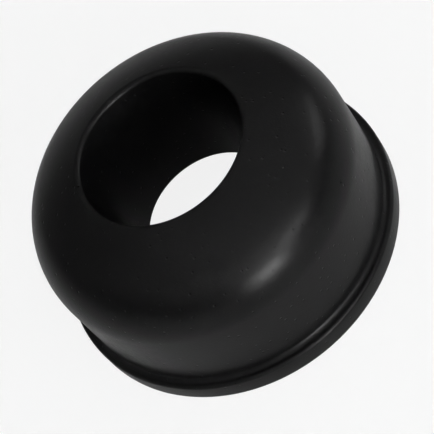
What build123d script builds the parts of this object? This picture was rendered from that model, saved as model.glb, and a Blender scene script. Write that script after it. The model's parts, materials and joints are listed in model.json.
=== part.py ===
from build123d import *
from math import atan2, degrees, sqrt
import os

# A moulded rubber gasket that adapts a small pipe to a wider opening. It is one piece:
# a bulging outer wall with a bead round its foot, rolled over at the top into an inner
# sleeve that narrows down to a sealing lip. The pocket between wall and sleeve is open
# at the foot. Millimetres, +Z up along the bore, origin at the middle of the flat foot.

# Overall
height = 31.5               # from the foot to the edge of the mouth
body_radius = 28.5          # outer wall at its fullest
bore_radius = 12.1          # straight sealing length inside the sleeve

# Outer wall and bead
crown_radius = 44.0         # the crown is part of a ball centred on the axis
shoulder_radius = 10.8
waist_tuck = 0.1            # how far the wall draws in at the bead
waist_rounding = 0.9
bead_projection = 1.5       # how far the bead stands out past the fullest point
bead_height = 4.4
bead_top_rounding = 0.6
bead_foot_rounding = 1.2

# Mouth and sleeve
mouth_flare = 2.1           # how much wider the mouth is than the bore, in radius
mouth_rounding = 0.8
bore_length = 8.0
lip_level = 8.2             # height of the sleeve's lower end
lip_thickness = 2.6
lip_rounding = 0.9
sleeve_thickness = 4.0      # at the top of the pocket

# Pocket between the wall and the sleeve
wall_thickness = 5.0        # at the top of the pocket
wall_draft = 0.5            # how much thinner the wall is at the foot
crown_thickness = 3.1       # straight up from the pocket's outer edge, before it is rounded
pocket_outer_rounding = 3.8
pocket_inner_rounding = 1.8
pocket_mouth_rounding = 0.8

bead_radius = body_radius + bead_projection
waist_radius = body_radius - waist_tuck
mouth_radius = bore_radius + mouth_flare
bore_top = lip_level + bore_length
pocket_outer_radius = body_radius - wall_thickness
foot_inner_radius = pocket_outer_radius + wall_draft

# The crown's ball passes through the mouth's edge, and the pocket's top lies under it.
crown_centre_level = height - sqrt(crown_radius**2 - mouth_radius**2)
crown_over_pocket = crown_centre_level + sqrt(crown_radius**2 - pocket_outer_radius**2)
pocket_top = crown_over_pocket - crown_thickness

# The funnel's radius where the pocket's top is, and the sleeve's outside there.
funnel_share = (pocket_top - bore_top) / (height - bore_top)
pocket_inner_radius = bore_radius + funnel_share * mouth_flare + sleeve_thickness
pocket_width = pocket_outer_radius - pocket_inner_radius

# The shoulder's arc touches the crown's ball.
shoulder_centre_radius = body_radius - shoulder_radius
shoulder_rise = sqrt((crown_radius - shoulder_radius) ** 2 - shoulder_centre_radius**2)
body_level = crown_centre_level + shoulder_rise
shoulder_sweep = degrees(atan2(shoulder_rise, shoulder_centre_radius))


def in_pocket(rounding, share):
    """A rounding at the pocket's top, held to a share of the pocket's width."""
    return min(rounding, share * pocket_width)


def section():
    """Half of the gasket's section: across is the radius and up is the height."""
    with BuildSketch(Plane.XZ) as half:
        with BuildLine():
            side = TangentArc((body_radius, body_level), (waist_radius, bead_height), tangent=(0, -1))
            shoulder = JernArc(side @ 0, (0, 1), shoulder_radius, shoulder_sweep)
            TangentArc(shoulder @ 1, (mouth_radius, height), tangent=shoulder % 1)
            Polyline(
                (mouth_radius, height),
                (bore_radius, bore_top),
                (bore_radius, lip_level),
                (bore_radius + lip_thickness, lip_level),
                (pocket_inner_radius, pocket_top),
                (pocket_outer_radius, pocket_top),
                (foot_inner_radius, 0),
                (bead_radius, 0),
                (bead_radius, bead_height),
                (waist_radius, bead_height),
            )
        make_face()
        for corner, rounding in (
            ((mouth_radius, height), mouth_rounding),
            ((bore_radius, lip_level), lip_rounding),
            ((bore_radius + lip_thickness, lip_level), lip_rounding),
            ((pocket_inner_radius, pocket_top), in_pocket(pocket_inner_rounding, 0.25)),
            ((pocket_outer_radius, pocket_top), in_pocket(pocket_outer_rounding, 0.6)),
            ((foot_inner_radius, 0), pocket_mouth_rounding),
            ((bead_radius, 0), bead_foot_rounding),
            ((bead_radius, bead_height), bead_top_rounding),
            ((waist_radius, bead_height), waist_rounding),
        ):
            fillet(half.vertices().sort_by_distance(corner)[0], rounding)
    return half.sketch


gasket = revolve(section(), Axis.Z)
size = gasket.bounding_box().size
print(f"body {2 * body_radius:.1f} across, fullest {body_level:.2f} above the foot")
print(f"gasket {gasket.volume / 1000:.2f} cm3, {size.X:.2f} x {size.Y:.2f} x {size.Z:.2f}")

os.makedirs("parts", exist_ok=True)
export_step(gasket, "parts/gasket.step")
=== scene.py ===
import json
from math import acos, atan2, cos, pi, radians, sin, sqrt, tan

import bmesh
import bpy
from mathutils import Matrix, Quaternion, Vector


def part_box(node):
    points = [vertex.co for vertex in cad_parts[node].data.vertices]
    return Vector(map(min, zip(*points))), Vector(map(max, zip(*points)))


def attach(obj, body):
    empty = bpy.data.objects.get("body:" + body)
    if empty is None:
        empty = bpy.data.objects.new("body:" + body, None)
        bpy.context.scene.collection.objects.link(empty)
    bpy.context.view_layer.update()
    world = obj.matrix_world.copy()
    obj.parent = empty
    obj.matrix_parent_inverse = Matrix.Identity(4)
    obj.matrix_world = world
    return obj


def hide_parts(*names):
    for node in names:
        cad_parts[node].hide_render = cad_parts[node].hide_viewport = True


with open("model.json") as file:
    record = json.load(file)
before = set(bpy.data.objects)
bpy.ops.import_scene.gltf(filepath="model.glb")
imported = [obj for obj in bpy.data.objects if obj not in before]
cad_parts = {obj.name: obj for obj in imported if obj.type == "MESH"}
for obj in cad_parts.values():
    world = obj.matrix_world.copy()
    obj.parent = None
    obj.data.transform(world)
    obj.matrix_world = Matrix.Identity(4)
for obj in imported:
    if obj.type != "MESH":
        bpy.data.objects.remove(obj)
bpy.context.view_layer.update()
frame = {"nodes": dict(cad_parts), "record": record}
record = frame["record"]
print("frame loaded:", sorted(frame["nodes"]))


# Small helpers

def deselectAll():
    bpy.ops.object.select_all(action="DESELECT")


def addNode(tree, kind, place, **settings):
    node = tree.nodes.new(kind)
    node.location = place
    for name, value in settings.items():
        setattr(node, name, value)
    return node


def fromAround(azimuth, elevation, distance):        # azimuth 0 is in front, at -Y, and 90 is at +X
    flat = distance * cos(radians(elevation))
    across = flat * sin(radians(azimuth))
    return Vector((across, -flat * cos(radians(azimuth)), distance * sin(radians(elevation))))


# Rubber: near black, satin, with a fine mottled skin

rubberLook = {
    "darkColour": (0.0014, 0.0014, 0.0015, 1),
    "paleColour": (0.0046, 0.0046, 0.0048, 1),
    "specular": 0.20,
    "roughness": (0.27, 0.36),        # at the smoothest and at the dullest
    "cloudSize": 0.014,               # broad areas that are more or less mottled
    "cloudDetail": 3,
    "mottleSize": 0.0011,
    "mottleDetail": 4,
    "mottleSpread": (0.12, 0.42),     # where the mottling turns from the dark black to the pale one
    "dullnessSpread": (0.25, 0.75),   # where it turns from the smoothest to the dullest
    "grainSize": 0.00032,
    "grainDetail": 3,
    "grainDepth": 0.000018,
    "noiseRoughness": 0.6,
    "pitSize": 0.0016,                # distance between the tiny pits
    "pitEdge": (0.06, 0.16),          # a pit's floor and its rim, as shares of that distance
    "pitDepth": 0.00005,
}


def makeRubber():
    look = rubberLook
    rubber = bpy.data.materials.new("mouldedRubber")
    rubber.use_nodes = True
    tree = rubber.node_tree
    tree.nodes.clear()
    link = tree.links.new
    place = addNode(tree, "ShaderNodeTexCoord", (-1500, 0))

    def noise(size, detail, y):
        node = addNode(tree, "ShaderNodeTexNoise", (-1250, y))
        node.inputs["Scale"].default_value = 1 / size
        node.inputs["Detail"].default_value = detail
        node.inputs["Roughness"].default_value = look["noiseRoughness"]
        link(place.outputs["Object"], node.inputs["Vector"])
        return node.outputs["Fac"]

    clouds = noise(look["cloudSize"], look["cloudDetail"], 400)
    mottle = noise(look["mottleSize"], look["mottleDetail"], 100)
    grain = noise(look["grainSize"], look["grainDetail"], -200)

    pits = addNode(tree, "ShaderNodeTexVoronoi", (-1250, -500), feature="F1")
    pits.inputs["Scale"].default_value = 1 / look["pitSize"]
    link(place.outputs["Object"], pits.inputs["Vector"])
    pitDepth = addNode(tree, "ShaderNodeMapRange", (-1000, -500), interpolation_type="SMOOTHSTEP")
    pitDepth.inputs["From Min"].default_value = look["pitEdge"][0]
    pitDepth.inputs["From Max"].default_value = look["pitEdge"][1]
    link(pits.outputs["Distance"], pitDepth.inputs["Value"])

    # Mottling mixes the two blacks, more strongly where the broad clouds are pale
    blend = addNode(tree, "ShaderNodeMath", (-1000, 250), operation="MULTIPLY")
    link(clouds, blend.inputs[0])
    link(mottle, blend.inputs[1])
    spread = addNode(tree, "ShaderNodeMapRange", (-800, 250))
    spread.inputs["From Min"].default_value = look["mottleSpread"][0]
    spread.inputs["From Max"].default_value = look["mottleSpread"][1]
    link(blend.outputs[0], spread.inputs["Value"])
    colour = addNode(tree, "ShaderNodeMix", (-500, 300), data_type="RGBA")
    colour.inputs["A"].default_value = look["darkColour"]
    colour.inputs["B"].default_value = look["paleColour"]
    link(spread.outputs["Result"], colour.inputs["Factor"])

    dullness = addNode(tree, "ShaderNodeMapRange", (-500, 0))
    dullness.inputs["From Min"].default_value = look["dullnessSpread"][0]
    dullness.inputs["From Max"].default_value = look["dullnessSpread"][1]
    dullness.inputs["To Min"].default_value = look["roughness"][0]
    dullness.inputs["To Max"].default_value = look["roughness"][1]
    link(mottle, dullness.inputs["Value"])

    grainBump = addNode(tree, "ShaderNodeBump", (-500, -250))
    grainBump.inputs["Distance"].default_value = look["grainDepth"]
    link(grain, grainBump.inputs["Height"])
    pitBump = addNode(tree, "ShaderNodeBump", (-250, -350))
    pitBump.inputs["Distance"].default_value = look["pitDepth"]
    link(pitDepth.outputs["Result"], pitBump.inputs["Height"])
    link(grainBump.outputs["Normal"], pitBump.inputs["Normal"])

    shader = addNode(tree, "ShaderNodeBsdfPrincipled", (0, 0))
    shader.inputs["Specular IOR Level"].default_value = look["specular"]
    link(colour.outputs["Result"], shader.inputs["Base Color"])
    link(dullness.outputs["Result"], shader.inputs["Roughness"])
    link(pitBump.outputs["Normal"], shader.inputs["Normal"])
    output = addNode(tree, "ShaderNodeOutputMaterial", (300, 0))
    link(shader.outputs["BSDF"], output.inputs["Surface"])
    return rubber


# Gasket: rings pulled from a circle along the section, closed to a shell, corners rounded

gasketSizes = {                   # metres, and heights are above the foot
    "sides": 256,                 # facets round the axis
    "mouthHeight": 0.0315,
    "mouthFlare": 0.0021,         # how much wider the mouth is than the bore, in radius
    "mouthRounding": 0.0008,
    "boreLength": 0.008,
    "lipLevel": 0.0082,
    "lipThickness": 0.0026,
    "lipRounding": 0.0009,
    "sleeveThickness": 0.004,     # at the top of the pocket
    "crownRadius": 0.044,         # the crown is part of a ball centred on the axis
    "crownSteps": 9,
    "shoulderRadius": 0.0108,
    "shoulderSteps": 16,
    "sideSteps": 5,
    "beadProjection": 0.0015,     # how far the bead stands out past the fullest point
    "beadHeight": 0.0044,
    "beadTopRounding": 0.0006,
    "beadFootRounding": 0.0012,
    "waistTuck": 0.0001,          # how far the wall draws in at the bead
    "waistRounding": 0.0009,
    "wallThickness": 0.005,       # at the top of the pocket
    "wallDraft": 0.0005,          # how much thinner the wall is at the foot
    "crownThickness": 0.0031,     # straight up from the pocket's outer edge
    "pocketOuterRounding": 0.0038,
    "pocketInnerRounding": 0.0018,
    "pocketMouthRounding": 0.0008,
    "roundingSteps": 6,
    "ringReach": 0.00002,         # how near an edge must be to count as part of a corner's ring
    "mergeReach": 0.000001,
}


def arcPoints(centre, radius, start, end, steps):    # angles in radians, the start left out
    points = []
    for step in range(1, steps + 1):
        angle = start + (end - start) * step / steps
        points.append((centre[0] + radius * cos(angle), centre[1] + radius * sin(angle)))
    return points


def gasketSection(size, beadRadius, boreRadius):     # points (radius, height) and corner roundings
    bodyRadius = beadRadius - size["beadProjection"]
    waistRadius = bodyRadius - size["waistTuck"]
    mouthRadius = boreRadius + size["mouthFlare"]
    boreTop = size["lipLevel"] + size["boreLength"]
    pocketOuter = bodyRadius - size["wallThickness"]
    footInner = pocketOuter + size["wallDraft"]

    crown = size["crownRadius"]
    crownCentre = size["mouthHeight"] - sqrt(crown**2 - mouthRadius**2)
    pocketTop = crownCentre + sqrt(crown**2 - pocketOuter**2) - size["crownThickness"]
    funnelShare = (pocketTop - boreTop) / (size["mouthHeight"] - boreTop)
    pocketInner = boreRadius + funnelShare * size["mouthFlare"] + size["sleeveThickness"]

    # The shoulder's arc touches the crown's ball, and the side is an arc that touches the shoulder
    shoulder = size["shoulderRadius"]
    shoulderCentre = bodyRadius - shoulder
    shoulderRise = sqrt((crown - shoulder) ** 2 - shoulderCentre**2)
    bodyLevel = crownCentre + shoulderRise
    sweep = atan2(shoulderRise, shoulderCentre)
    sideDrop = bodyLevel - size["beadHeight"]
    sideRadius = (sideDrop**2 + size["waistTuck"] ** 2) / (2 * size["waistTuck"])
    sideSweep = 2 * atan2(size["waistTuck"], sideDrop)

    beadTop = size["beadHeight"]
    mouthAngle = acos(mouthRadius / crown)
    points = [(waistRadius, beadTop)]
    sideCentre = bodyRadius - sideRadius
    points += arcPoints((sideCentre, bodyLevel), sideRadius, -sideSweep, 0, size["sideSteps"])
    points += arcPoints((shoulderCentre, bodyLevel), shoulder, 0, sweep, size["shoulderSteps"])
    points += arcPoints((0, crownCentre), crown, sweep, mouthAngle, size["crownSteps"])
    points += [
        (boreRadius, boreTop),
        (boreRadius, size["lipLevel"]),
        (boreRadius + size["lipThickness"], size["lipLevel"]),
        (pocketInner, pocketTop),
        (pocketOuter, pocketTop),
        (footInner, 0),
        (beadRadius, 0),
        (beadRadius, beadTop),
    ]
    roundings = [
        ((mouthRadius, size["mouthHeight"]), size["mouthRounding"]),
        ((boreRadius, size["lipLevel"]), size["lipRounding"]),
        ((boreRadius + size["lipThickness"], size["lipLevel"]), size["lipRounding"]),
        ((pocketInner, pocketTop), size["pocketInnerRounding"]),
        ((pocketOuter, pocketTop), size["pocketOuterRounding"]),
        ((footInner, 0), size["pocketMouthRounding"]),
        ((beadRadius, 0), size["beadFootRounding"]),
        ((beadRadius, beadTop), size["beadTopRounding"]),
        ((waistRadius, beadTop), size["waistRounding"]),
    ]
    return points, roundings


def pullRing(last, new):                             # takes the selected ring to a new radius and height
    rise = new[1] - last[1]
    bpy.ops.mesh.extrude_region_move(TRANSFORM_OT_translate={"value": (0, 0, rise)})
    share = new[0] / last[0]
    bpy.ops.transform.resize(value=(share, share, 1), center_override=(0, 0, new[1]))


def selectRing(piece, corner):
    mesh = bmesh.from_edit_mesh(piece.data)
    near = gasketSizes["ringReach"]
    for edge in mesh.edges:
        edge.select_set(all(
            abs(end.co.xy.length - corner[0]) < near and abs(end.co.z - corner[1]) < near
            for end in edge.verts
        ))
    bmesh.update_edit_mesh(piece.data)


def turnAt(points, corner):                          # how much the section turns at a corner
    corner = Vector(corner)
    spot = min(range(len(points)), key=lambda index: (Vector(points[index]) - corner).length)
    before = Vector(points[spot]) - Vector(points[spot - 1])
    after = Vector(points[(spot + 1) % len(points)]) - Vector(points[spot])
    return before.angle(after)


def makeGasket(rubber):
    size = gasketSizes
    low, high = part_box("gasket")
    bore = next(mount for mount in record["mounts"] if mount["name"] == "pipe_bore")
    boreRadius = bore["dims"]["r_mm"] / 1000         # the record is in millimetres
    points, roundings = gasketSection(size, high.x, boreRadius)

    deselectAll()
    radius, level = points[0]
    bpy.ops.mesh.primitive_circle_add(vertices=size["sides"], radius=radius, location=(0, 0, level))
    gasket = bpy.context.object
    gasket.name = "rubberGasket"
    bpy.ops.object.transform_apply(location=True, rotation=False, scale=False)
    bpy.ops.object.mode_set(mode="EDIT")
    bpy.context.tool_settings.mesh_select_mode = (False, True, False)
    bpy.ops.mesh.select_all(action="SELECT")
    for last, new in zip(points, points[1:]):
        pullRing(last, new)
    bpy.ops.mesh.select_all(action="DESELECT")
    bpy.ops.mesh.select_non_manifold()               # the first ring and the last one
    bpy.ops.mesh.bridge_edge_loops()

    for corner, rounding in roundings:
        selectRing(gasket, corner)
        setBack = rounding * tan(turnAt(points, corner) / 2)
        bpy.ops.mesh.bevel(offset=setBack, segments=size["roundingSteps"], affect="EDGES")

    bpy.ops.mesh.select_all(action="SELECT")
    bpy.ops.mesh.remove_doubles(threshold=size["mergeReach"])
    bpy.ops.mesh.normals_make_consistent(inside=False)
    bpy.ops.object.mode_set(mode="OBJECT")
    bpy.ops.object.shade_smooth()

    gasket.data.materials.append(rubber)
    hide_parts("gasket")
    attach(gasket, "root")
    print("gasket made:", len(gasket.data.polygons), "faces")


makeGasket(makeRubber())


# Camera

cameraView = {
    "distance": 0.30,                 # from the origin
    "elevation": 52.2,
    "aimHeight": 0.0079,
    "roll": -39.6,                    # turns the camera about its own line of sight
    "lens": 144.3,
    "nearest": 0.01,
}


def makeCamera():
    view = cameraView
    bpy.ops.object.camera_add(location=fromAround(0, view["elevation"], view["distance"]))
    camera = bpy.context.object
    camera.name = "studioCamera"
    camera.data.lens = view["lens"]
    camera.data.clip_start = view["nearest"]
    sight = Vector((0, 0, view["aimHeight"])) - camera.location
    camera.rotation_mode = "QUATERNION"
    roll = Quaternion((0, 0, 1), radians(view["roll"]))
    camera.rotation_quaternion = sight.to_track_quat("-Z", "Y") @ roll
    bpy.context.scene.camera = camera
    print("camera placed")


# Studio: pale floor with a low backdrop round it, soft lamps and a dim world

studioSizes = {
    "floorRadius": 2.0,
    "floorDrop": 0.00005,             # a hair under the foot, so that the two never share a plane
    "backdropHeight": 0.4,
    "backdropSides": 96,
    "whiteShare": 0.86,               # seen straight or through glass; the rest takes light and shade
    "glossyShare": 0.03,              # in a reflection, where the rubber mirrors it nearly as lit
    "colour": (0.92, 0.92, 0.92, 1),
    "worldLevel": 0.004,
}

lamps = {                             # level: how bright a white card that faces the lamp turns out
    "lowFrontBox": {
        "azimuth": 4, "elevation": 9, "distance": 0.9, "size": (0.26, 0.18), "level": 0.42,
    },
    "frontBox": {
        "azimuth": 28, "elevation": 28, "distance": 0.9, "size": (0.4, 0.3), "level": 0.35,
    },
    "sideBox": {
        "azimuth": 95, "elevation": 30, "distance": 0.9, "size": (0.4, 0.4), "level": 0.25,
    },
}


def makePaleMaterial():
    pale = bpy.data.materials.new("paleStudio")
    pale.use_nodes = True
    tree = pale.node_tree
    tree.nodes.clear()
    link = tree.links.new
    paint = addNode(tree, "ShaderNodeBsdfDiffuse", (-300, -100))
    paint.inputs["Color"].default_value = studioSizes["colour"]
    white = addNode(tree, "ShaderNodeEmission", (-300, -250))

    # Mostly plain white when seen straight or through glass, and hardly at all in a reflection
    ray = addNode(tree, "ShaderNodeLightPath", (-1000, 200))
    seen = addNode(tree, "ShaderNodeMath", (-750, 200), operation="MAXIMUM")
    link(ray.outputs["Is Camera Ray"], seen.inputs[0])
    link(ray.outputs["Is Transmission Ray"], seen.inputs[1])
    straight = addNode(tree, "ShaderNodeMath", (-550, 200), operation="MULTIPLY")
    straight.inputs[1].default_value = studioSizes["whiteShare"]
    link(seen.outputs[0], straight.inputs[0])
    share = addNode(tree, "ShaderNodeMath", (-350, 200), operation="MULTIPLY_ADD")
    share.inputs[1].default_value = studioSizes["glossyShare"]
    link(ray.outputs["Is Glossy Ray"], share.inputs[0])
    link(straight.outputs[0], share.inputs[2])
    front = addNode(tree, "ShaderNodeMixShader", (0, 0))
    link(share.outputs[0], front.inputs["Fac"])
    link(paint.outputs["BSDF"], front.inputs[1])
    link(white.outputs["Emission"], front.inputs[2])

    # From behind it is clear, so the underside of the gasket can be looked at
    side = addNode(tree, "ShaderNodeNewGeometry", (-100, 300))
    clear = addNode(tree, "ShaderNodeBsdfTransparent", (0, -200))
    whole = addNode(tree, "ShaderNodeMixShader", (250, 0))
    link(side.outputs["Backfacing"], whole.inputs["Fac"])
    link(front.outputs["Shader"], whole.inputs[1])
    link(clear.outputs["BSDF"], whole.inputs[2])
    output = addNode(tree, "ShaderNodeOutputMaterial", (450, 0))
    link(whole.outputs["Shader"], output.inputs["Surface"])
    return pale


def makeFloor(pale):
    size = studioSizes
    deselectAll()
    bpy.ops.mesh.primitive_circle_add(
        vertices=size["backdropSides"], radius=size["floorRadius"], fill_type="NGON",
        location=(0, 0, -size["floorDrop"]),
    )
    floor = bpy.context.object
    floor.name = "studioFloor"
    bpy.ops.object.transform_apply(location=True, rotation=False, scale=False)
    bpy.ops.object.mode_set(mode="EDIT")
    bpy.context.tool_settings.mesh_select_mode = (False, True, False)
    bpy.ops.mesh.select_all(action="DESELECT")
    bpy.ops.mesh.select_non_manifold()
    rise = (0, 0, size["backdropHeight"])
    bpy.ops.mesh.extrude_region_move(TRANSFORM_OT_translate={"value": rise})
    bpy.ops.mesh.select_all(action="SELECT")
    bpy.ops.mesh.normals_make_consistent(inside=True)
    bpy.ops.object.mode_set(mode="OBJECT")
    if floor.data.polygons[0].normal.z < 0:
        bpy.ops.object.mode_set(mode="EDIT")
        bpy.ops.mesh.flip_normals()
        bpy.ops.object.mode_set(mode="OBJECT")
    floor.data.materials.append(pale)
    print("floor laid")


def makeLamps():
    for name, lamp in lamps.items():
        spot = fromAround(lamp["azimuth"], lamp["elevation"], lamp["distance"])
        bpy.ops.object.light_add(type="AREA", location=spot)
        light = bpy.context.object
        light.name = name
        light.data.shape = "RECTANGLE"
        light.data.size, light.data.size_y = lamp["size"]
        light.data.energy = lamp["level"] * (pi * lamp["distance"]) ** 2
        light.rotation_euler = (-spot).to_track_quat("-Z", "Y").to_euler()
    print("lamps set:", ", ".join(lamps))


def makeWorld():
    world = bpy.data.worlds.new("dimStudio")
    bpy.context.scene.world = world
    world.use_nodes = True
    background = world.node_tree.nodes["Background"]
    background.inputs["Color"].default_value = (1, 1, 1, 1)
    background.inputs["Strength"].default_value = studioSizes["worldLevel"]
    print("world dimmed")


makeCamera()
makeFloor(makePaleMaterial())
makeLamps()
makeWorld()
bpy.context.scene.view_settings.view_transform = "Standard"
